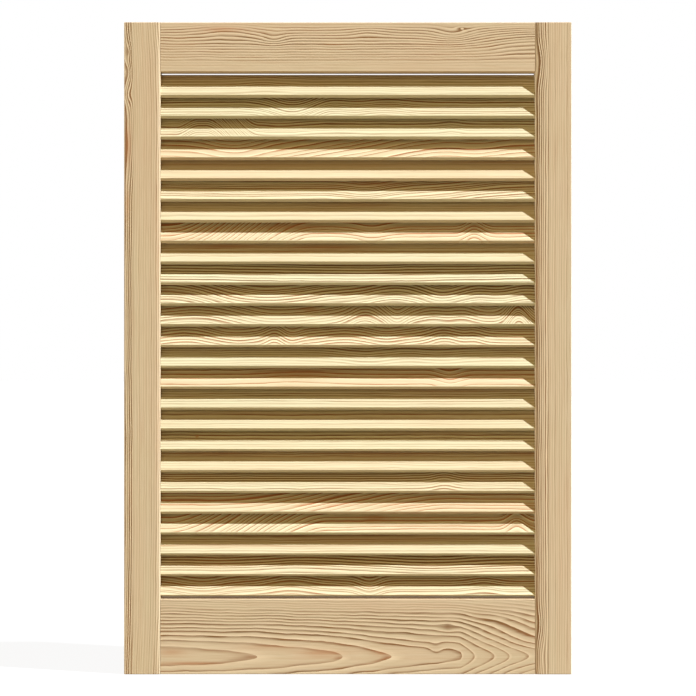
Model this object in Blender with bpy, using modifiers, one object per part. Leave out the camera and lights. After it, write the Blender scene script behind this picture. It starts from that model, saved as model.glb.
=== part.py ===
"""Fixed-louvre door leaf in pine: two stiles, two rails, a column of slanted slats and hidden dowels.

Metres, +Z up. The front of the leaf faces -Y, and the origin is at the middle of its bottom edge.
"""

import math

import bmesh
import bpy
from mathutils import Matrix, Vector

# The leaf
DOOR_WIDTH = 0.494
DOOR_HEIGHT = 0.720
DOOR_THICKNESS = 0.021

# Stiles and rails. The stile's inner arrises are rounded over, down to the faces of the thinner rails.
STILE_WIDTH = 0.040
STILE_ROUND_WIDTH = 0.0055
TOP_RAIL_HEIGHT = 0.0546
BOTTOM_RAIL_HEIGHT = 0.0832
RAIL_SETBACK = 0.0012
FRAME_ARRIS = 0.0008

# Slats, tilted from the horizontal with the lower edge at the front, in an even column from rail to rail.
# The setback is from the stile's face to the slat's edge, and the top and bottom gaps are from the rails
# to the first and last slat. The least gap, square to two slats' faces, says how many the column takes.
SLAT_THICKNESS = 0.006
SLAT_SETBACK = 0.0015
SLAT_TOP_GAP = 0.0016
SLAT_BOTTOM_GAP = 0.0014
SLAT_LEAST_GAP = 0.0047
SLAT_ANGLE = math.radians(62)
SLAT_ARRIS = 0.0006
HOUSING_DEPTH = 0.008

# Dowels in the corner joints, two in each
DOWEL_DIAMETER = 0.008
DOWEL_LENGTH = 0.040
DOWEL_CHAMFER = 0.0008
DOWEL_FLUTES = 12
FLUTE_DEPTH = 0.0003
DOWEL_EDGE_DISTANCE = 0.014
GLUE_SPACE = 0.0015

# Clearance between a piece and its seat, faces on a small and a large round, what counts as one place
FIT = 0.0003
ARRIS_SEGMENTS = 3
ROUND_SEGMENTS = 5
NEAR = 0.00001

# Sizes and places that follow
INNER_EDGE = DOOR_WIDTH / 2 - STILE_WIDTH
STILE_ROUND_RADIUS = (STILE_ROUND_WIDTH ** 2 + RAIL_SETBACK ** 2) / (2 * RAIL_SETBACK)
STILE_ROUND_SWEEP = math.asin(STILE_ROUND_WIDTH / STILE_ROUND_RADIUS)
RAIL_THICKNESS = DOOR_THICKNESS - 2 * RAIL_SETBACK
RAIL_LENGTH = 2 * (INNER_EDGE - FIT)
OPENING_BOTTOM = BOTTOM_RAIL_HEIGHT
OPENING_TOP = DOOR_HEIGHT - TOP_RAIL_HEIGHT
SLAT_DEPTH = DOOR_THICKNESS - 2 * SLAT_SETBACK
SLAT_WIDTH = (SLAT_DEPTH - SLAT_THICKNESS * math.sin(SLAT_ANGLE)) / math.cos(SLAT_ANGLE)
SLAT_RISE = SLAT_WIDTH * math.sin(SLAT_ANGLE) + SLAT_THICKNESS * math.cos(SLAT_ANGLE)
SLAT_LENGTH = 2 * (INNER_EDGE + HOUSING_DEPTH - FIT)
LEAST_PITCH = (SLAT_THICKNESS + SLAT_LEAST_GAP) / math.cos(SLAT_ANGLE)
TOP_SLAT_HEIGHT = OPENING_TOP - SLAT_TOP_GAP - SLAT_RISE / 2
BOTTOM_SLAT_HEIGHT = OPENING_BOTTOM + SLAT_BOTTOM_GAP + SLAT_RISE / 2
SLAT_COUNT = 1 + int((TOP_SLAT_HEIGHT - BOTTOM_SLAT_HEIGHT) / LEAST_PITCH)
SLAT_PITCH = (TOP_SLAT_HEIGHT - BOTTOM_SLAT_HEIGHT) / (SLAT_COUNT - 1)
BORE_RADIUS = DOWEL_DIAMETER / 2 + FIT
BORE_DEPTH = DOWEL_LENGTH / 2 + GLUE_SPACE

# Finishes: linear colour and roughness
FRAME_PINE = ((0.62, 0.45, 0.26), 0.62)
SLAT_PINE = ((0.66, 0.49, 0.28), 0.58)
DOWEL_BEECH = ((0.55, 0.36, 0.21), 0.6)


def empty_scene():
    """Remove every object, so that the script builds the same leaf wherever it runs."""
    for thing in list(bpy.data.objects):
        bpy.data.objects.remove(thing, do_unlink=True)


def new_collection(name):
    """Make a collection under the scene."""
    collection = bpy.data.collections.new(name)
    bpy.context.scene.collection.children.link(collection)
    return collection


def bare_wood(name, finish):
    """Unfinished wood in one colour."""
    colour, roughness = finish
    material = bpy.data.materials.new(name)
    material.use_nodes = True
    shader = material.node_tree.nodes["Principled BSDF"]
    shader.inputs["Base Color"].default_value = (*colour, 1)
    shader.inputs["Roughness"].default_value = roughness
    shader.inputs["Metallic"].default_value = 0
    return material


def mesh_from(name, shape):
    """Write a finished shape to a mesh, its faces pointing out, and free it."""
    shape.normal_update()
    bmesh.ops.recalc_face_normals(shape, faces=shape.faces)
    mesh = bpy.data.meshes.new(name)
    shape.to_mesh(mesh)
    shape.free()
    return mesh


def place(name, mesh, leaf, parts, location, rotation=(0, 0, 0)):
    """Put a piece in its place on the leaf."""
    piece = bpy.data.objects.new(name, mesh)
    piece.parent = leaf
    piece.location = location
    piece.rotation_euler = rotation
    parts.objects.link(piece)
    return piece


def tool_set(piece, cutters):
    """A piece's own set of tool bodies, all cut out of it in one pass."""
    tools = bpy.data.collections.new("cutters_" + piece.name)
    cutters.children.link(tools)
    modifier = piece.modifiers.new("cuts", "BOOLEAN")
    modifier.operation = "DIFFERENCE"
    modifier.solver = "EXACT"
    modifier.operand_type = "COLLECTION"
    modifier.collection = tools
    return tools


def cutter(name, mesh, location, *tool_sets):
    """A tool body, which only cuts, in the set of every piece that it passes through."""
    tool = bpy.data.objects.new(name, mesh)
    tool.location = location
    tool.hide_render = True
    tool.display_type = "WIRE"
    for tools in tool_sets:
        tools.objects.link(tool)
    return tool


def round_edges(shape, edges, radius):
    """Round the chosen edges of a shape."""
    bmesh.ops.bevel(
        shape, geom=edges, affect="EDGES", offset=radius, segments=ARRIS_SEGMENTS, profile=0.5,
        clamp_overlap=True,
    )


def board(length, depth, height, arris):
    """A board along X, centred on the origin, with its four long edges rounded."""
    shape = bmesh.new()
    bmesh.ops.create_cube(shape, size=1, matrix=Matrix.Diagonal((length, depth, height, 1)))
    ends_apart = length - NEAR
    long_edges = [
        edge for edge in shape.edges if abs(edge.verts[1].co.x - edge.verts[0].co.x) > ends_apart
    ]
    round_edges(shape, long_edges, arris)
    return shape


def raised_outline(name, outline, height):
    """Raise a flat outline to a closed upright solid, half above and half below z = 0."""
    curve = bpy.data.curves.new(name, "CURVE")
    curve.dimensions = "2D"
    curve.fill_mode = "BOTH"
    curve.extrude = height / 2
    spline = curve.splines.new("POLY")
    spline.points.add(len(outline) - 1)
    for point, (x, y) in zip(spline.points, outline):
        point.co = (x, y, 0, 1)
    spline.use_cyclic_u = True
    carrier = bpy.data.objects.new(name, curve)
    bpy.context.scene.collection.objects.link(carrier)
    graph = bpy.context.evaluated_depsgraph_get()
    mesh = bpy.data.meshes.new_from_object(carrier.evaluated_get(graph))
    bpy.data.objects.remove(carrier, do_unlink=True)
    bpy.data.curves.remove(curve)
    shape = bmesh.new()
    shape.from_mesh(mesh)
    bpy.data.meshes.remove(mesh)
    bmesh.ops.remove_doubles(shape, verts=shape.verts, dist=NEAR)
    bmesh.ops.dissolve_limit(shape, angle_limit=math.radians(1), verts=shape.verts, edges=shape.edges)
    return shape


def stile_outline(side):
    """The stile's section, measured from its inner edge.

    Both inner arrises are rounded over on an arc that leaves the face without a break and ends at the
    level of the rail's face.
    """
    face = DOOR_THICKNESS / 2
    front = [(side * STILE_WIDTH, -face)]
    for step in range(ROUND_SEGMENTS + 1):
        turn = STILE_ROUND_SWEEP * step / ROUND_SEGMENTS
        from_edge = STILE_ROUND_WIDTH - STILE_ROUND_RADIUS * math.sin(turn)
        drop = STILE_ROUND_RADIUS * (1 - math.cos(turn))
        front.append((side * from_edge, drop - face))
    return front + [(x, -y) for x, y in reversed(front)]


def sanded_edges(shape, side):
    """The long edges of a stile, outer and inner, and the rims of its ends.

    The rim along the inner edge stays sharp, because the rail closes up to it there.
    """
    chosen = []
    for edge in shape.edges:
        start, end = (vert.co for vert in edge.verts)
        inner = abs(start.x) < NEAR and abs(end.x) < NEAR
        outer = min(side * start.x, side * end.x) > STILE_WIDTH - NEAR
        level = abs(start.z - end.z) < NEAR
        if outer or level != inner:
            chosen.append(edge)
    return chosen


def stile(name, side, leaf, parts):
    """An upright of the frame, which runs the full height of the leaf."""
    shape = raised_outline(name, stile_outline(side), DOOR_HEIGHT)
    round_edges(shape, sanded_edges(shape, side), FRAME_ARRIS)
    mesh = mesh_from(name, shape)
    mesh.materials.append(bare_wood(name, FRAME_PINE))
    return place(name, mesh, leaf, parts, (side * INNER_EDGE, 0, DOOR_HEIGHT / 2))


def rail(name, bottom, height, leaf, parts):
    """A crosspiece between the stiles."""
    mesh = mesh_from(name, board(RAIL_LENGTH, RAIL_THICKNESS, height, FRAME_ARRIS))
    mesh.materials.append(bare_wood(name, FRAME_PINE))
    return place(name, mesh, leaf, parts, (0, 0, bottom + height / 2))


def housings(name, side, tools):
    """The tool for a stile's row of housings: the slat's section with clearance, once for each slat."""
    shape = board(
        2 * HOUSING_DEPTH, SLAT_WIDTH + 2 * FIT, SLAT_THICKNESS + 2 * FIT, SLAT_ARRIS + FIT,
    )
    shape.transform(Matrix.Rotation(SLAT_ANGLE, 4, "X"))
    tool = cutter(name, mesh_from(name, shape), (side * INNER_EDGE, 0, TOP_SLAT_HEIGHT), tools)
    row = tool.modifiers.new("row", "ARRAY")
    row.count = SLAT_COUNT
    row.use_relative_offset = False
    row.use_constant_offset = True
    row.constant_offset_displace = (0, 0, -SLAT_PITCH)


def slats(leaf, parts):
    """The louvre: flat strips with eased long edges, whose square ends sit in the housings."""
    mesh = mesh_from("slat", board(SLAT_LENGTH, SLAT_WIDTH, SLAT_THICKNESS, SLAT_ARRIS))
    mesh.materials.append(bare_wood("slat", SLAT_PINE))
    for index in range(SLAT_COUNT):
        height = TOP_SLAT_HEIGHT - index * SLAT_PITCH
        place(f"slat_{index + 1:02d}", mesh, leaf, parts, (0, 0, height), (SLAT_ANGLE, 0, 0))


def pin(radius, length):
    """A round pin along X, centred on the origin, with two sides to each flute of a dowel."""
    shape = bmesh.new()
    bmesh.ops.create_cone(
        shape, cap_ends=True, segments=2 * DOWEL_FLUTES, radius1=radius, radius2=radius, depth=length,
        matrix=Matrix.Rotation(math.pi / 2, 4, "Y"),
    )
    return shape


def dowel_mesh():
    """A fluted pin with chamfered ends: every second line of points lies in the bottom of a flute."""
    shape = pin(DOWEL_DIAMETER / 2, DOWEL_LENGTH)
    rims = [edge for edge in shape.edges if abs(edge.verts[0].co.x - edge.verts[1].co.x) < NEAR]
    bmesh.ops.bevel(shape, geom=rims, affect="EDGES", offset=DOWEL_CHAMFER, segments=1)
    step = math.pi / DOWEL_FLUTES
    for vert in shape.verts:
        line = round(math.atan2(vert.co.z, vert.co.y) / step)
        if line % 2:
            outward = Vector((0, vert.co.y, vert.co.z)).normalized()
            vert.co -= FLUTE_DEPTH * outward
    mesh = mesh_from("dowel", shape)
    mesh.materials.append(bare_wood("dowel", DOWEL_BEECH))
    return mesh


def dowel_joints(stile_tools, rail_tools, leaf, parts):
    """Bore every corner joint across its seam, into stile and rail alike, and put in its two dowels."""
    bore_mesh = mesh_from("bore", pin(BORE_RADIUS, 2 * BORE_DEPTH))
    pin_mesh = dowel_mesh()
    heights = {
        "bottom": (DOWEL_EDGE_DISTANCE, OPENING_BOTTOM - DOWEL_EDGE_DISTANCE),
        "top": (OPENING_TOP + DOWEL_EDGE_DISTANCE, DOOR_HEIGHT - DOWEL_EDGE_DISTANCE),
    }
    for level, in_rail in rail_tools.items():
        for hand, (in_stile, side) in stile_tools.items():
            for number, height in enumerate(heights[level], 1):
                spot = (side * INNER_EDGE, 0, height)
                label = f"{level}_{hand}_{number}"
                cutter("bore_" + label, bore_mesh, spot, in_stile, in_rail)
                place("dowel_" + label, pin_mesh, leaf, parts, spot)


def main():
    """Build the leaf."""
    empty_scene()
    parts = new_collection("louvred_door")
    cutters = new_collection("louvred_door_cutters")
    leaf = bpy.data.objects.new("leaf_origin", None)
    parts.objects.link(leaf)

    stile_tools = {}
    for hand, side in (("left", -1), ("right", 1)):
        tools = tool_set(stile("stile_" + hand, side, leaf, parts), cutters)
        housings("housings_" + hand, side, tools)
        stile_tools[hand] = (tools, side)
    rail_tools = {
        "bottom": tool_set(rail("rail_bottom", 0, BOTTOM_RAIL_HEIGHT, leaf, parts), cutters),
        "top": tool_set(rail("rail_top", OPENING_TOP, TOP_RAIL_HEIGHT, leaf, parts), cutters),
    }
    slats(leaf, parts)
    dowel_joints(stile_tools, rail_tools, leaf, parts)


main()
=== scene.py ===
"""Looks of a fixed-louvre door leaf in bare pine.

Every board has its own cut of the log. The leaf stands on a white studio floor, in hard light.
"""

import math

import bmesh
import bpy
import numpy as np
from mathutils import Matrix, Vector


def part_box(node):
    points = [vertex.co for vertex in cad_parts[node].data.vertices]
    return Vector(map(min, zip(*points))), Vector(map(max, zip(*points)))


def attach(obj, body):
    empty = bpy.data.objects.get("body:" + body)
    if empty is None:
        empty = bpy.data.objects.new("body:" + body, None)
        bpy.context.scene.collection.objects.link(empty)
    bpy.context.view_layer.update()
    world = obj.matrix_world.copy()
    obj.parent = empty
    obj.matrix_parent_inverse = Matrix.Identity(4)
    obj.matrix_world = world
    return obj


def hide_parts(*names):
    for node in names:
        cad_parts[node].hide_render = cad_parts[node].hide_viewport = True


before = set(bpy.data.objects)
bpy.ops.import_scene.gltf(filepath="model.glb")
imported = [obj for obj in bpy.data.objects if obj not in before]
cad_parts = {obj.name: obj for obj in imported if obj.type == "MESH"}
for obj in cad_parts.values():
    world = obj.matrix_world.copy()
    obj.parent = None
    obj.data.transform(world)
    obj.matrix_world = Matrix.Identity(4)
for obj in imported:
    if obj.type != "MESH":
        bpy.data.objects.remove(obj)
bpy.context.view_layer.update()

# Stiles: the two full-height uprights, planed from straight-grained pine.
# Their inner edges hold the rows of slanted housings, so each keeps the shape of its solid, merged
# and shaded smooth over the sanded arrises. The grain runs up the leaf.


class Strand:
    """A value on its way through a material. Arithmetic on it adds Math nodes to the node tree."""

    def __init__(self, tree, socket):
        self.tree = tree
        self.socket = socket

    def node(self, kind, settings=None, sockets=None, output=0):
        """Add any node: its settings come first, then the values or links of its sockets."""
        made = self.tree.nodes.new(kind)
        for key, value in (settings or {}).items():
            if key == "stops":
                ramp = made.color_ramp
                while len(ramp.elements) < len(value):
                    ramp.elements.new(1)
                for element, (place, level) in zip(ramp.elements, value):
                    element.position = place
                    element.color = (level, level, level, 1)
            elif key == "curve":
                made.color_ramp.interpolation = value
            else:
                setattr(made, key, value)
        for key, value in (sockets or {}).items():
            if isinstance(value, Strand):
                self.tree.links.new(value.socket, made.inputs[key])
            else:
                made.inputs[key].default_value = value
        return Strand(self.tree, made.outputs[output])

    def maths(self, operation, *values):
        """One Math node on up to three values."""
        return self.node("ShaderNodeMath", {"operation": operation}, dict(enumerate(values)))

    def __add__(self, other):
        return self.maths("ADD", self, other)

    def __sub__(self, other):
        return self.maths("SUBTRACT", self, other)

    def __rsub__(self, other):
        return self.maths("SUBTRACT", other, self)

    def __mul__(self, other):
        return self.maths("MULTIPLY", self, other)

    def __truediv__(self, other):
        return self.maths("DIVIDE", self, other)

    def __rtruediv__(self, other):
        return self.maths("DIVIDE", other, self)

    def __pow__(self, other):
        return self.maths("POWER", self, other)

    def __abs__(self):
        return self.maths("ABSOLUTE", self)

    __radd__ = __add__
    __rmul__ = __mul__


def noise(place, per_metre, detail, seed):
    """Smooth noise about zero, within about half a unit each way.

    It has so many waves to the metre along, across and through the board, and the seed shifts it along.
    """
    along, across, through = (axis * waves for axis, waves in zip(place, per_metre))
    spot = along.node("ShaderNodeCombineXYZ", {}, {0: along + seed, 1: across, 2: through})
    return spot.node(
        "ShaderNodeTexNoise", {"noise_dimensions": "3D"},
        {"Vector": spot, "Scale": 1.0, "Detail": detail, "Roughness": 0.5},
    ) - 0.5


def blend_colours(share, first, second):
    """The first colour at a share of 0, the second at 1."""
    return share.node(
        "ShaderNodeMix", {"data_type": "RGBA", "clamp_factor": True}, {0: share, 6: first, 7: second}, 2,
    )


def bell(*offsets):
    """A bell curve: 1 where every offset is 0, falling to a third one unit away."""
    square = sum(offset * offset for offset in offsets)
    return square.maths("EXPONENT", square * -1.0)


def ramp(value, *stops, curve="LINEAR"):
    """A level that follows the stops as the value goes from 0 to 1."""
    return value.node("ShaderNodeValToRGB", {"stops": stops, "curve": curve}, {"Fac": value})


def between(value, low, high, first=0.0, last=1.0, slope="LINEAR"):
    """The first level below the low mark, the last above the high one, and a slope between."""
    return value.node(
        "ShaderNodeMapRange", {"clamp": True, "interpolation_type": slope},
        {"Value": value, "From Min": low, "From Max": high, "To Min": first, "To Max": last},
    )


def rim(place, half, start, full):
    """0 inside the board, rising to 1 between the start and full distances in from its side."""
    return between(abs(place), half - start, half - full)


# Waves to the metre along, across and through the board, detail, and shift of the seed
wood_noises = {
    "slow": ((6.0, 18.0, 18.0), 1.0, 0.0),
    "mild": ((24.0, 40.0, 40.0), 1.0, 11.0),
    "quick": ((55.0, 160.0, 160.0), 1.0, 17.0),
    "streak": ((2.6, 260.0, 130.0), 2.0, 41.0),
    "broken": ((24.0, 300.0, 300.0), 1.0, 57.0),
    "cloud": ((4.0, 26.0, 26.0), 1.0, 73.0),
    "fleck": ((16.0, 560.0, 560.0), 2.0, 91.0),
    "fibre": ((45.0, 1500.0, 1500.0), 2.0, 0.0),
}

# Reach of a knot's swirl and of its dark heart along and across the board, in knot sizes, and the share
# by which it parts the grain
knot_swirl = (3.2, 1.5)
knot_heart = (1.2, 0.8)
knot_parting = 0.85


def near_knot(along, across, place, level, size, reach):
    """A bell curve over a knot, which reaches so many knot sizes along and across the board."""
    return bell((along - place) / (reach[0] * size), (across - level) / (reach[1] * size))


def straightened(along, across, bends, slips, knots):
    """Where a point's grain would lie across the board without its bends, slips and knots.

    A bend lifts the grain by its height times a bell curve along the board, and times one across it where
    the bend is kept to a part of the width. A slip lifts the grain along a smooth slope. A knot draws the
    points near it from its own level, so that the grain parts round it.
    """
    grain = across
    for place, width, height, *window in bends:
        offsets = [(along - place) / width]
        if window:
            level, spread = window
            offsets.append((across - level) / spread)
        grain = grain - bell(*offsets) * height
    for start, end, height in slips:
        grain = grain - between(along, start, end, 0.0, height, "SMOOTHSTEP")
    for place, level, size, *_ in knots:
        swirl = near_knot(along, across, place, level, size, knot_swirl)
        grain = grain - (grain - level) * swirl * knot_parting
    return grain


# Half breadth of the strip over the pith where tips form, the share of the sinking outside that strip,
# half breadth of the tips' points, and the share that they are held back
tip_reach = 0.055
tip_outside = 0.35
tip_point = 0.016
tip_held_back = 0.25


def shells(along, side, depth, half_length, spacing, tips):
    """A point's distance from the pith, and the slant at which the rings meet the face there.

    The distance is the root of side squared plus depth squared, and the slant is side over distance: 1
    where rings stand square to the face, and 0 where the face is cut flat to them. Where tips are given,
    the pith sinks away along the board by a count of rings that follows them. It sinks most in a strip
    over the pith, which makes the rings end in tips, and a little less in the middle of that strip, which
    makes the tips pointed.
    """
    if tips:
        most = tips[-1][1]
        stops = [(place, rings / most) for place, rings in tips]
        sunk = ramp(between(along, -half_length, half_length), *stops, curve="B_SPLINE") * (most * spacing)
        strip = bell(side / tip_reach) * (1 - tip_outside) + tip_outside
        depth = depth + sunk * strip * (1.0 - bell(side / tip_point) * tip_held_back)
    distance = (side * side + depth * depth) ** 0.5
    return distance, side / distance


# Waves of change in the rings' width, to one ring
ring_drift = 0.41


def years(ring, uneven, seed):
    """How far a point has grown within its year, from 0 to 1, and a random weight for that year.

    The year is the ring plus noise that drifts from ring to ring, times how uneven the rings are. Its
    fraction is the growth, and its whole number picks the weight.
    """
    drift = ring.node(
        "ShaderNodeTexNoise", {"noise_dimensions": "1D"},
        {"W": ring * ring_drift + seed, "Scale": 1.0, "Detail": 1.0},
    )
    year = ring + drift * uneven
    number = year.maths("FLOOR", year)
    weight = number.node("ShaderNodeTexWhiteNoise", {"noise_dimensions": "1D"}, {"W": number + seed})
    return year.maths("FRACT", year), weight


# Where the board is cut flatter to the rings than this slant, its lines fade, at most to this share
steep_slant = 0.4
flat_share = 0.65

# Distances from the end of a year over which its summer line fades out, slow darkening through the year,
# and distances from its start over which the pale spring growth fades out
summer_line = (0.0005, 0.0018)
summer_slope = ((0.0, 0.0), (0.45, 0.02), (0.96, 0.24), (1.0, 0.0))
spring_band = (0.0002, 0.0016)

# Distances in from a board's sides and ends between which each finish of its rim comes in
edge_rim = (0.0010, 0.0004)
sawn_rim = (0.0006, 0.0002)
arris_rim = (0.0016, 0.0)

# Pine's colours, and the tints of its spring growth
spring_pine = (0.668, 0.566, 0.396)
summer_pine = (0.20, 0.112, 0.047)
russet = (0.40, 0.170, 0.075, 1)
resin_stain = (0.46, 0.20, 0.085, 1)
fibre_brown = (0.36, 0.23, 0.12, 1)
knot_brown = (0.20, 0.09, 0.035, 1)
# Also the colour of the painted shade on a board's narrow faces
sawn_and_shade_brown = (0.34, 0.20, 0.095, 1)
pink_tint = (0.97, 0.88, 0.82)
olive_tint = (0.94, 0.96, 0.90)
cream_tint = (1.26, 1.26, 1.26)
palest = 0.92
sawn_share = 0.45
planed_roughness = 0.78
relief_strength = 0.35
relief_depth = 0.0004


def tinted(colour, tint):
    """A colour times a tint, part by part, and no part above the palest that wood gets."""
    return tuple(min(palest, part * share) for part, share in zip(colour, tint)) + (1,)


def bare_wood(name, turn, middle, half, pith, spacing, least_slant=0.0, tips=None, wander=0.002,
              wave=0.0005, ragged=0.25, uneven=1.0, bends=(), slips=(), knots=(), patches=(), strong=None,
              contrast=1.0, alike=0.6, red=0.0, seed=0.0, gloss=0.0, plain_edges=0.0, narrow_face_shade=0.0,
              early=spring_pine, late=summer_pine):
    """Bare planed wood, cut from a log, with lengths in metres from the board's middle.

    Rings are shells round the pith: a point's ring is its distance from the pith, over the ring spacing.
    Slow noise makes the shells wander, quicker noise makes them wave, and the quickest makes them ragged
    by a share of the spacing. Uneven is how far the rings' width drifts, and alike is the share of their
    strength that all lines have in common.

    In each ring the wood darkens slowly from spring growth to a thin line of summer growth, which stops
    short against the pale growth of the next spring. Where the board is cut flat to the rings, the lines
    are fainter, redder, and broader by one over the root of the slant, which the least slant keeps finite.
    Red is how much russet runs through the wood. Arrises are rubbed paler, plain edges lose a share of
    their lines, and sawn ends are darker. The narrow faces along the board's sides are darkened by their
    share of painted shade, which holds down the light that falls on them.

    A tip is (share of the length, rings sunk) and a strong stop (share of the width, strength of lines).
    A bend is (place, width, height), with (level, spread) after it where it is kept to a part of the
    width. A slip is (start, end, height), a knot (place, level, size, darkness) and a patch of stain
    (place, width, level, spread, share).
    """
    material = bpy.data.materials.new(name)
    material.use_nodes = True
    tree = material.node_tree
    shader = tree.nodes["Principled BSDF"]
    start = Strand(tree, tree.nodes.new("ShaderNodeTexCoord").outputs["Object"])
    lying = start.node(
        "ShaderNodeMapping", {"vector_type": "TEXTURE"},
        {"Vector": start, "Location": middle, "Rotation": turn},
    )
    split = tree.nodes.new("ShaderNodeSeparateXYZ")
    tree.links.new(lying.socket, split.inputs[0])
    along, across, through = (Strand(tree, socket) for socket in split.outputs)
    slow, mild, quick, streak, broken, cloud, fleck, fibre = (
        noise((along, across, through), per_metre, detail, seed + shift)
        for per_metre, detail, shift in wood_noises.values()
    )

    side = straightened(along, across, bends, slips, knots) - pith[0]
    distance, slant = shells(along, side, through - pith[1], half[0], spacing, tips)
    stray = slow * wander + mild * wave + quick * (ragged * spacing)
    growth, weight = years((distance + stray * slant) / spacing, uneven, seed)

    edge = rim(across, half[1], *edge_rim)
    steep = between(abs(slant), 0.0, steep_slant, flat_share, 1.0)
    patchy = streak * 1.3 + broken * 1.6 + 1.0
    force = (weight * (1 - alike) + alike) * patchy * contrast * (1.0 - edge * plain_edges)
    if strong:
        force = force * ramp(between(across, -half[1], half[1]), *strong)
    force = force * steep
    breadth = spacing / (slant * slant + least_slant * least_slant) ** 0.25
    line = between((1.0 - growth) * breadth, *summer_line, 1.0, 0.0)
    summer = line.maths("MAXIMUM", line, ramp(growth, *summer_slope)) * force
    spring = between(growth * breadth, *spring_band, 1.0, 0.0) * force

    cream = tinted(early, cream_tint)
    pinkness = cloud * 1.2 + streak * 1.1 + 0.30
    oliveness = mild * 1.1 - cloud * 0.9 + 0.28
    flecks = fleck * 0.55 + 0.04
    fibres = fibre * 0.34 + 0.08
    redness = cloud * 1.1 + mild * 0.8 + (red + 1.02) - steep * 0.9
    body = blend_colours(pinkness, (*early, 1), tinted(early, pink_tint))
    body = blend_colours(oliveness, body, tinted(early, olive_tint))
    body = blend_colours(flecks, body, russet)
    if red:
        body = blend_colours((cloud + streak) * red, body, russet)
    body = blend_colours(spring * 0.8, body, cream)
    body = blend_colours(summer, body, blend_colours(redness, (*late, 1), russet))
    for place, width, level, spread, share in patches:
        stain = bell((along - place) / width, (across - level) / spread) * (streak * 1.5 + 1.0)
        body = blend_colours(stain * share, body, resin_stain)
    body = blend_colours(fibres, body, fibre_brown)
    for place, level, size, darkness in knots:
        heart = near_knot(along, across, place, level, size, knot_heart)
        body = blend_colours(heart * darkness, body, knot_brown)
    rubbed = rim(across, half[1], *arris_rim) * rim(through, half[2], *arris_rim)
    body = blend_colours(rubbed * (fibre + 0.6), body, cream)
    # Painted shade: the narrow faces along the board's sides are darkened by their share, to hold down the
    # light on them
    body = blend_colours(edge * narrow_face_shade, body, sawn_and_shade_brown)
    sawn = rim(along, half[0], *sawn_rim)
    body = blend_colours(sawn * sawn_share, body, sawn_and_shade_brown)
    tree.links.new(body.socket, shader.inputs["Base Color"])

    rough = planed_roughness - summer * 0.10 + fibre * 0.16 + sawn * 0.1
    tree.links.new(rough.socket, shader.inputs["Roughness"])
    shader.inputs["Specular IOR Level"].default_value = gloss
    relief = summer * 0.7 + fibre * 0.6
    bump = relief.node(
        "ShaderNodeBump", {}, {"Height": relief, "Strength": relief_strength, "Distance": relief_depth},
    )
    tree.links.new(bump.socket, shader.inputs["Normal"])
    return material


# Faces that meet at more than this angle keep a sharp edge, and only the largest faces steer the shading
sharp_angle = math.radians(40)
largest_faces = 100


def add_piece(name, mesh, material, node):
    """Show a finished mesh in place of its node, on the leaf's one body.

    Its shading is smooth, with normals that follow the large faces, so that flat faces stay flat to the
    arris.
    """
    piece = bpy.data.objects.new(name, mesh)
    bpy.context.scene.collection.objects.link(piece)
    piece.data.materials.append(material)
    piece.data.shade_smooth()
    piece.data.set_sharp_from_angle(angle=sharp_angle)
    evened = piece.modifiers.new("even_normals", "WEIGHTED_NORMAL")
    evened.keep_sharp = True
    evened.weight = largest_faces
    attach(piece, "root")
    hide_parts(node)


# Corners of loose triangles nearer than this are one, and faces flatter than this to each other are one
weld_distance = 0.000002
flat_angle = math.radians(0.5)


def merged_copy(name, node):
    """A node's own shape with its loose triangles joined and its flat faces made whole."""
    shape = bmesh.new()
    shape.from_mesh(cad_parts[node].data)
    bmesh.ops.remove_doubles(shape, verts=shape.verts, dist=weld_distance)
    bmesh.ops.dissolve_limit(
        shape, angle_limit=flat_angle, verts=shape.verts, edges=shape.edges, delimit={"NORMAL"},
    )
    mesh = bpy.data.meshes.new(name)
    shape.to_mesh(mesh)
    shape.free()
    return mesh


upright = (math.radians(-90), math.radians(-90), 0)
stile_cuts = {
    "left": dict(
        pith=(-0.16, 0.03), spacing=0.0026, wander=0.003, wave=0.0014, contrast=1.35, alike=0.3, seed=3.0,
        early=(0.648, 0.546, 0.374),
        strong=((0.0, 1.6), (0.20, 1.4), (0.28, 0.25), (0.60, 0.22), (0.80, 0.40), (0.92, 0.55), (1.0, 0.3)),
        bends=((0.38, 0.05, -0.004), (-0.37, 0.06, -0.003), (0.305, 0.010, 0.003, -0.016, 0.006),
               (0.280, 0.010, -0.003, -0.016, 0.006), (0.23, 0.05, 0.003, -0.012, 0.006)),
        knots=((0.327, -0.0165, 0.003, 0.35),),
        patches=((0.225, 0.022, -0.0155, 0.0030, 0.55), (0.16, 0.02, -0.016, 0.002, 0.35)),
    ),
    "right": dict(
        pith=(-0.14, -0.03), spacing=0.0025, wander=0.0025, wave=0.0009, contrast=1.75, alike=0.3, seed=8.0,
        strong=((0.0, 0.9), (0.26, 0.9), (0.36, 0.40), (0.60, 0.22), (1.0, 0.25)),
        bends=((0.315, 0.022, 0.004, -0.012, 0.008), (-0.305, 0.02, 0.002, -0.014, 0.006),
               (-0.34, 0.02, -0.002, -0.014, 0.006)),
    ),
}
for hand, cut in stile_cuts.items():
    low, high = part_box("stile_" + hand)
    wide, deep, tall = (high - low) / 2
    wood = bare_wood(
        "pine_stile_" + hand, upright, tuple((low + high) / 2), (tall, wide, deep), plain_edges=0.65, **cut,
    )
    mesh = merged_copy("upright_" + hand, "stile_" + hand)
    add_piece("upright_" + hand, mesh, wood, "stile_" + hand)

# Rails: the two pine crosspieces, a little thinner than the stiles and dowelled between them.
# Each is a planed board with sanded arrises, its ends drawn up tight to the stiles.


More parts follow.
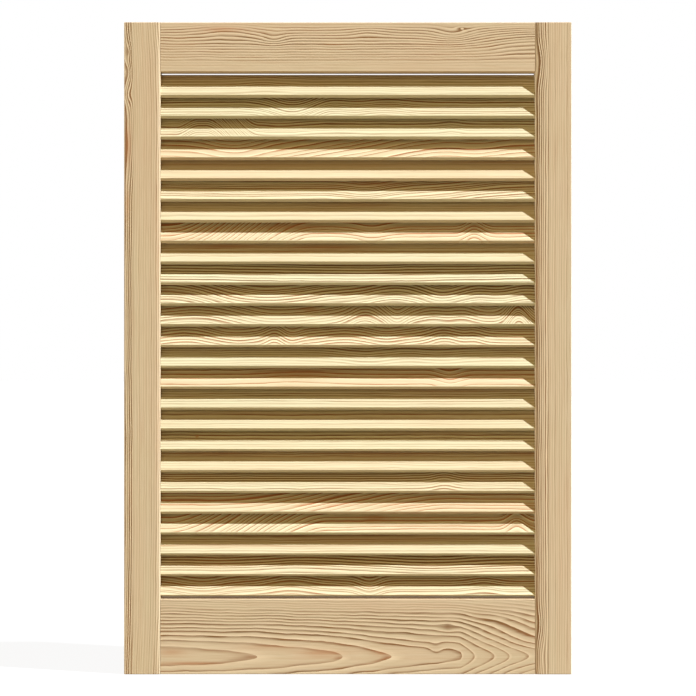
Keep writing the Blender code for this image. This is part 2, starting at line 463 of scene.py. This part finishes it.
def rounded_section(depth, height, arris, steps):
    """A rectangle with rounded corners, as points round its outline.

    Each corner is a quarter circle of the arris radius about a centre that lies that far in from both
    sides, so a point is the corner's centre plus the radius times the cosine and sine of its angle.
    """
    quarter = np.linspace(0, math.pi / 2, steps + 1)
    turns = np.concatenate([quarter + corner * math.pi / 2 for corner in range(4)])
    right = np.repeat((1, -1, -1, 1), steps + 1)
    top = np.repeat((1, 1, -1, -1), steps + 1)
    y = right * (depth / 2 - arris) + arris * np.cos(turns)
    z = top * (height / 2 - arris) + arris * np.sin(turns)
    return y, z


def board_mesh(name, stations, section, middle, tilt=0.0, sway=0.0):
    """A board along X: the section at each station, swayed by a small offset, tilted and put in place.

    A point is the section's (y, z), plus the station's sway in z, turned about X by the tilt and moved
    to the middle. Neighbouring sections are joined by four-sided faces, and each end is one face.
    """
    y, z = section
    around = len(y)
    x = np.repeat(stations, around)
    across = np.tile(y, len(stations))
    up = np.tile(z, len(stations)) + np.repeat(np.broadcast_to(sway, len(stations)), around)
    points = np.stack(
        (
            x + middle[0],
            across * math.cos(tilt) - up * math.sin(tilt) + middle[1],
            across * math.sin(tilt) + up * math.cos(tilt) + middle[2],
        ),
        axis=1,
    )
    row, column = np.meshgrid(np.arange(len(stations) - 1), np.arange(around), indexing="ij")
    following = (column + 1) % around
    first = row * around
    quads = np.stack(
        (first + column, first + around + column, first + around + following, first + following), axis=-1,
    ).reshape(-1, 4)
    last = (len(stations) - 1) * around
    ends = [list(range(around)), list(range(last + around - 1, last - 1, -1))]
    mesh = bpy.data.meshes.new(name)
    mesh.from_pydata(points.tolist(), [], quads.tolist() + ends)
    shape = bmesh.new()
    shape.from_mesh(mesh)
    bmesh.ops.recalc_face_normals(shape, faces=shape.faces)
    shape.to_mesh(mesh)
    shape.free()
    return mesh


rail_arris = 0.0008
rail_arris_steps = 6
rail_stations = 25
rail_draw = 0.00025
on_edge = (math.radians(90), 0, 0)
rail_cuts = {
    "top": dict(
        pith=(0.075, -0.010), spacing=0.0029, wander=0.0025, wave=0.0018, uneven=0.6, contrast=1.02,
        seed=12.0,
        strong=((0.0, 0.10), (0.17, 0.20), (0.30, 0.80), (0.45, 1.0), (0.87, 1.0), (0.91, 0.25),
                (1.0, 0.15)),
        bends=((-0.1325, 0.035, 0.0042, 0.020, 0.010), (-0.082, 0.014, -0.0042, 0.008, 0.007),
               (0.022, 0.020, 0.0030, 0.017, 0.007), (0.117, 0.024, -0.0060, 0.014, 0.010),
               (0.207, 0.060, 0.0085, 0.008, 0.017)),
        knots=((0.126, 0.0205, 0.0016, 0.0),),
        patches=((-0.140, 0.022, 0.0195, 0.0025, 0.5),),
    ),
    "bottom": dict(
        pith=(-0.0215, -0.0347), spacing=0.0023, least_slant=0.080, wander=0.005, wave=0.0036, ragged=0.50,
        uneven=0.6, contrast=1.15, seed=21.0,
        tips=((0.0, 0.0), (0.20, 0.43), (0.46, 1.65), (0.605, 3.33), (0.80, 4.67), (0.84, 6.0),
              (0.89, 7.47), (0.934, 8.8), (1.0, 10.7)),
        strong=((0.0, 0.9), (0.45, 1.0), (0.78, 0.75), (0.90, 0.35), (1.0, 0.3)),
        bends=((0.0973, 0.008, -0.0040, -0.0155, 0.010), (0.1136, 0.020, 0.0030, -0.008, 0.012)),
        knots=((0.1104, 0.0115, 0.0032, 0.5),),
        patches=((-0.030, 0.024, -0.0190, 0.0042, 0.50), (-0.090, 0.030, -0.012, 0.0025, 0.30),
                 (0.035, 0.010, -0.0195, 0.0030, 0.30), (-0.195, 0.015, -0.017, 0.0040, 0.35),
                 (-0.175, 0.030, -0.0295, 0.0020, 0.40)),
    ),
}
for level, cut in rail_cuts.items():
    low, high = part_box("rail_" + level)
    middle = tuple((low + high) / 2)
    half = (high.x - low.x) / 2 + rail_draw
    depth, height = high.y - low.y, high.z - low.z
    mesh = board_mesh(
        "crosspiece_" + level, np.linspace(-half, half, rail_stations),
        rounded_section(depth, height, rail_arris, rail_arris_steps), middle,
    )
    # Painted shade darkens each rail's narrow top and bottom faces
    wood = bare_wood(
        "pine_rail_" + level, on_edge, middle, (half, height / 2, depth / 2), narrow_face_shade=0.3, **cut,
    )
    add_piece("crosspiece_" + level, mesh, wood, "rail_" + level)

# Slats: twenty-five thin strips of the same pine, planed with eased edges and slid into the housings.
# They stand at one tilt, lower edge forward. No two are cut from the same place in the log.

slat_tilt = math.radians(62)
slat_thickness = 0.006
slat_arris = 0.0006
slat_arris_steps = 5
slat_stations = 49
slat_bow = 0.00012
slat_early = (0.609, 0.567, 0.375)
# Strength of the grain lines across a slat: real grain, drawn stronger over each slat's upper part, where
# the slat above casts its shadow, as painted shade
slat_shaded_lines = ((0.34, 1.15), (0.55, 2.4))
slat_pith_side = 0.09
slat_pith_depth = 0.03
slat_seed = 31.0
slat_seed_step = 5.0
slat_rng = np.random.default_rng(7)

# A step of paleness adds one part in so many to a slat's green and to its blue
green_parts = 200
blue_parts = 160

# For each slat from the top: how many steps paler than the mean it is, and its cut of the log
slat_cuts = (
    (-1, dict(spacing=0.0030, contrast=0.50, bends=((-0.092, 0.030, 0.003),))),
    (7, dict(
        spacing=0.0030, contrast=0.85, red=0.1,
        bends=((-0.0607, 0.028, -0.012), (-0.019, 0.020, 0.004), (0.041, 0.030, 0.004)),
    )),
    (5, dict(
        spacing=0.0030, contrast=0.55, red=0.1,
        bends=((0.115, 0.012, 0.002), (-0.075, 0.030, -0.003)),
        slips=((-0.190, -0.165, 0.012), (-0.158, -0.098, -0.050)),
    )),
    (-8, dict(
        spacing=0.0060, contrast=1.45, red=0.8,
        bends=((-0.125, 0.035, -0.010), (0.145, 0.030, -0.006)),
        slips=((-0.120, 0.160, 0.045),),
    )),
    (-14, dict(spacing=0.0050, contrast=0.22, red=0.2, patches=((0.170, 0.060, 0.0075, 0.0015, 0.5),))),
    (1, dict(
        spacing=0.0032, contrast=0.90, red=0.3,
        bends=((0.021, 0.025, -0.005), (0.207, 0.100, 0.016)),
        patches=((0.030, 0.035, 0.0065, 0.003, 0.6),),
    )),
    (-7, dict(spacing=0.0034, contrast=0.28, red=0.25, patches=((0.015, 0.040, 0.006, 0.003, 0.4),))),
    (-1, dict(
        spacing=0.0050, contrast=1.30, red=0.9,
        bends=((0.0265, 0.020, -0.006), (0.140, 0.012, 0.010)),
        slips=((-0.200, -0.035, 0.100),),
        patches=((-0.064, 0.035, 0.006, 0.005, 0.5),),
    )),
    (-4, dict(
        spacing=0.0060, contrast=0.45, red=0.4,
        patches=((-0.131, 0.045, 0.006, 0.003, 0.6), (-0.018, 0.045, 0.005, 0.003, 0.7)),
    )),
    (5, dict(spacing=0.0033, contrast=1.30, bends=((0.000, 0.120, -0.003),))),
    (5, dict(
        spacing=0.0034, contrast=1.25, red=0.05,
        bends=((-0.1965, 0.050, 0.012), (-0.089, 0.060, -0.010), (0.052, 0.035, 0.008),
               (0.103, 0.020, -0.005), (0.145, 0.020, 0.004), (0.200, 0.030, 0.008)),
    )),
    (6, dict(
        spacing=0.0036, contrast=0.95, red=0.25,
        bends=((-0.169, 0.050, 0.008), (-0.076, 0.050, -0.008), (0.019, 0.020, 0.012),
               (0.054, 0.012, -0.008), (0.092, 0.020, 0.006), (0.127, 0.018, 0.006),
               (0.189, 0.014, 0.022)),
        patches=((-0.042, 0.010, 0.006, 0.004, 0.5),),
    )),
    (2, dict(
        spacing=0.0034, contrast=1.25, red=0.5,
        bends=((-0.180, 0.030, 0.005), (-0.120, 0.030, -0.005), (-0.081, 0.012, 0.006),
               (-0.063, 0.012, -0.004), (-0.003, 0.030, 0.004), (0.041, 0.020, -0.004),
               (0.107, 0.020, 0.008), (0.140, 0.012, 0.004)),
    )),
    (8, dict(
        spacing=0.0032, contrast=0.60, red=0.1,
        bends=((0.020, 0.030, -0.005), (0.102, 0.030, -0.003)),
    )),
    (-7, dict(
        spacing=0.0055, contrast=1.40, red=0.7,
        bends=((0.113, 0.015, -0.006), (-0.060, 0.050, 0.004)),
        patches=((-0.056, 0.050, 0.003, 0.006, 0.5),),
    )),
    (2, dict(spacing=0.0030, contrast=0.50, red=0.1, patches=((0.100, 0.080, 0.0070, 0.0020, 0.4),))),
    (-3, dict(spacing=0.0036, contrast=0.35, red=0.1, patches=((-0.120, 0.060, 0.006, 0.003, 0.25),))),
    (2, dict(
        spacing=0.0036, contrast=0.60, red=0.1,
        patches=((-0.167, 0.002, 0.002, 0.002, 0.6), (0.100, 0.060, 0.007, 0.003, 0.3)),
    )),
    (-5, dict(
        spacing=0.0034, contrast=0.50, red=0.5,
        patches=((-0.150, 0.050, 0.0065, 0.0025, 0.5), (0.060, 0.080, 0.0060, 0.0020, 0.4),
                 (0.200, 0.030, 0.0060, 0.0030, 0.4)),
    )),
    (1, dict(spacing=0.0030, contrast=0.85, red=0.15, bends=((0.107, 0.015, 0.004),))),
    (-2, dict(spacing=0.0045, contrast=1.05, red=0.8, slips=((-0.150, 0.120, 0.045),))),
    (4, dict(
        spacing=0.0050, contrast=1.10, red=0.8,
        bends=((0.187, 0.012, 0.010),),
        slips=((-0.200, -0.020, 0.090),),
        patches=((0.030, 0.012, 0.003, 0.004, 0.6),),
    )),
    (0, dict(spacing=0.0036, contrast=0.40, red=0.4, patches=((0.050, 0.120, 0.004, 0.003, 0.35),))),
    (-6, dict(
        spacing=0.0032, contrast=1.60, red=0.05,
        bends=((-0.05, 0.050, 0.003), (0.09, 0.05, -0.003)),
    )),
    (3, dict(
        spacing=0.0032, contrast=1.00, red=0.4,
        bends=((-0.163, 0.030, -0.006), (-0.064, 0.030, 0.006), (0.024, 0.015, -0.006),
               (0.150, 0.020, 0.003)),
    )),
)
slat_names = sorted(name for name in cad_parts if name.startswith("slat_"))
red, green, blue = slat_early
for index, (node, (paleness, cut)) in enumerate(zip(slat_names, slat_cuts)):
    low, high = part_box(node)
    middle = tuple((low + high) / 2)
    # From front to back a tilted slat takes up both arrises, its flat thickness times the sine of the tilt
    # and its flat width times the cosine, so its width follows from its depth
    flat_depth = high.y - low.y - 2 * slat_arris - (slat_thickness - 2 * slat_arris) * math.sin(slat_tilt)
    slat_width = 2 * slat_arris + flat_depth / math.cos(slat_tilt)
    half = (high.x - low.x) / 2
    stations = np.linspace(-half, half, slat_stations)
    bow = slat_rng.uniform(-slat_bow, slat_bow) * (1 - (stations / half) ** 2)
    mesh = board_mesh(
        "louvre_" + node, stations,
        rounded_section(slat_width, slat_thickness, slat_arris, slat_arris_steps), middle, slat_tilt, bow,
    )
    side = slat_rng.choice((-1, 1)) * slat_pith_side
    depth = slat_rng.uniform(-slat_pith_depth, slat_pith_depth)
    wood = bare_wood(
        "pine_" + node, (slat_tilt, 0, 0), middle, (half, slat_width / 2, slat_thickness / 2), (side, depth),
        wander=0.004, wave=0.0020, uneven=1.3, alike=0.4, strong=slat_shaded_lines, gloss=0.08, plain_edges=0.85,
        seed=slat_seed + slat_seed_step * index,
        early=(red, green * (1 + paleness / green_parts), blue * (1 + paleness / blue_parts)), **cut,
    )
    add_piece("louvre_" + node, mesh, wood, node)

# Dowels: fluted beech pins, two glued across each corner joint and out of sight.
# Their solids stay as they are and take a beech finish, as if cut from one large block.

beech = bare_wood(
    "beech_dowel", turn=(0, 0, 0), middle=(0, 0, 0), half=(0.5, 0.5, 0.5), pith=(0.3, 0.2), spacing=0.0011,
    wander=0.001, contrast=0.5, early=(0.58, 0.38, 0.22), late=(0.40, 0.23, 0.12),
)
for name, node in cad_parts.items():
    if name.startswith("dowel_"):
        node.data.materials.clear()
        node.data.materials.append(beech)

# Studio: a pale floor that carries the shadow, and a white surround. A hard key light comes from the upper
# right, and weaker lights from the front, from below, from the left and from behind.
# The camera stands square in front of the leaf.

white = (1, 1, 1, 1)
floor_reach = 20.0
floor_glow = 0.93
floor_paint = (0.06, 0.06, 0.06, 1)
floor_bounce = (0.05, 0.05, 0.05, 1)
floor_mesh = bpy.data.meshes.new("studio_floor")
floor_mesh.from_pydata(
    [(x * floor_reach, y * floor_reach, 0) for x, y in ((-1, -1), (1, -1), (1, 1), (-1, 1))],
    [], [(0, 1, 2, 3)],
)
floor = bpy.data.objects.new("studio_floor", floor_mesh)
bpy.context.scene.collection.objects.link(floor)
floor.visible_shadow = False
floor_finish = bpy.data.materials.new("studio_floor")
floor_finish.use_nodes = True
tree = floor_finish.node_tree
tree.nodes.clear()


def seen_directly(tree):
    """1 where the camera, a reflection or a refraction looks, 0 for light that only bounces."""
    path = tree.nodes.new("ShaderNodeLightPath")
    camera, glossy, clear = (
        Strand(tree, path.outputs["Is " + kind + " Ray"]) for kind in ("Camera", "Glossy", "Transmission")
    )
    either = camera.maths("MAXIMUM", camera, glossy)
    return either.maths("MAXIMUM", either, clear)


seen = seen_directly(tree)
glow = seen.node("ShaderNodeEmission", {}, {"Color": white, "Strength": floor_glow})
paint = seen.node("ShaderNodeBsdfDiffuse", {}, {"Color": floor_paint})
shown = seen.node("ShaderNodeAddShader", {}, {0: glow, 1: paint})
felt = seen.node("ShaderNodeBsdfDiffuse", {}, {"Color": floor_bounce})
either = seen.node("ShaderNodeMixShader", {}, {0: seen, 1: felt, 2: shown})
surface = tree.nodes.new("ShaderNodeOutputMaterial")
tree.links.new(either.socket, surface.inputs["Surface"])
floor_mesh.materials.append(floor_finish)

world = bpy.data.worlds.new("studio")
bpy.context.scene.world = world
world.use_nodes = True
background = world.node_tree.nodes["Background"]
ambient = 0.10
warm = (1, 0.60, 0.18, 1)
seen = seen_directly(world.node_tree)
surround = {"Color": blend_colours(seen, warm, white), "Strength": seen * (1 - ambient) + ambient}
for socket, value in surround.items():
    world.node_tree.links.new(value.socket, background.inputs[socket])


def sun(name, travel, strength, softness, colour=(1, 1, 1)):
    """A distant lamp whose light travels in the given direction. Its softness is its width in degrees.

    The lamp shines straight down until it is turned: by the angle between down and the direction, about
    X, and then by the direction's bearing from +Y, about Z.
    """
    lamp = bpy.data.lights.new(name, "SUN")
    lamp.energy = strength
    lamp.angle = math.radians(softness)
    lamp.color = colour
    holder = bpy.data.objects.new(name, lamp)
    x, y, z = travel
    holder.rotation_euler = (math.atan2(math.hypot(x, y), -z), 0, math.atan2(-x, y))
    bpy.context.scene.collection.objects.link(holder)


sun("key", (-0.635, 0.2443, -0.7328), 7.85, 1.2, (0.94, 1.005, 1.10))
sun("soft_front", (0.0, 0.84, -0.5), 1.1, 100, (1, 0.70, 0.30))
sun("bounce_from_below", (0, 0.469, 0.883), 1.1, 20, (1, 0.80, 0.54))
sun("soft_left", (0.9, 0.35, -0.25), 0.3, 60, (1, 0.70, 0.32))
sun("low_left", (0.9995, 0.032, 0), 1.6, 2)
sun("soft_from_behind", (0.1, -0.99, 0.1), 2.3, 15, (1, 0.86, 0.66))

camera_data = bpy.data.cameras.new("square_on")
camera_data.sensor_width = 36
camera_data.lens = 107.78
camera = bpy.data.objects.new("square_on", camera_data)
camera.location = (0.0002, -2.3105, 0.3603)
camera.rotation_euler = (math.radians(90), 0, 0)
bpy.context.scene.collection.objects.link(camera)
bpy.context.scene.camera = camera
bpy.context.scene.view_settings.view_transform = "Standard"
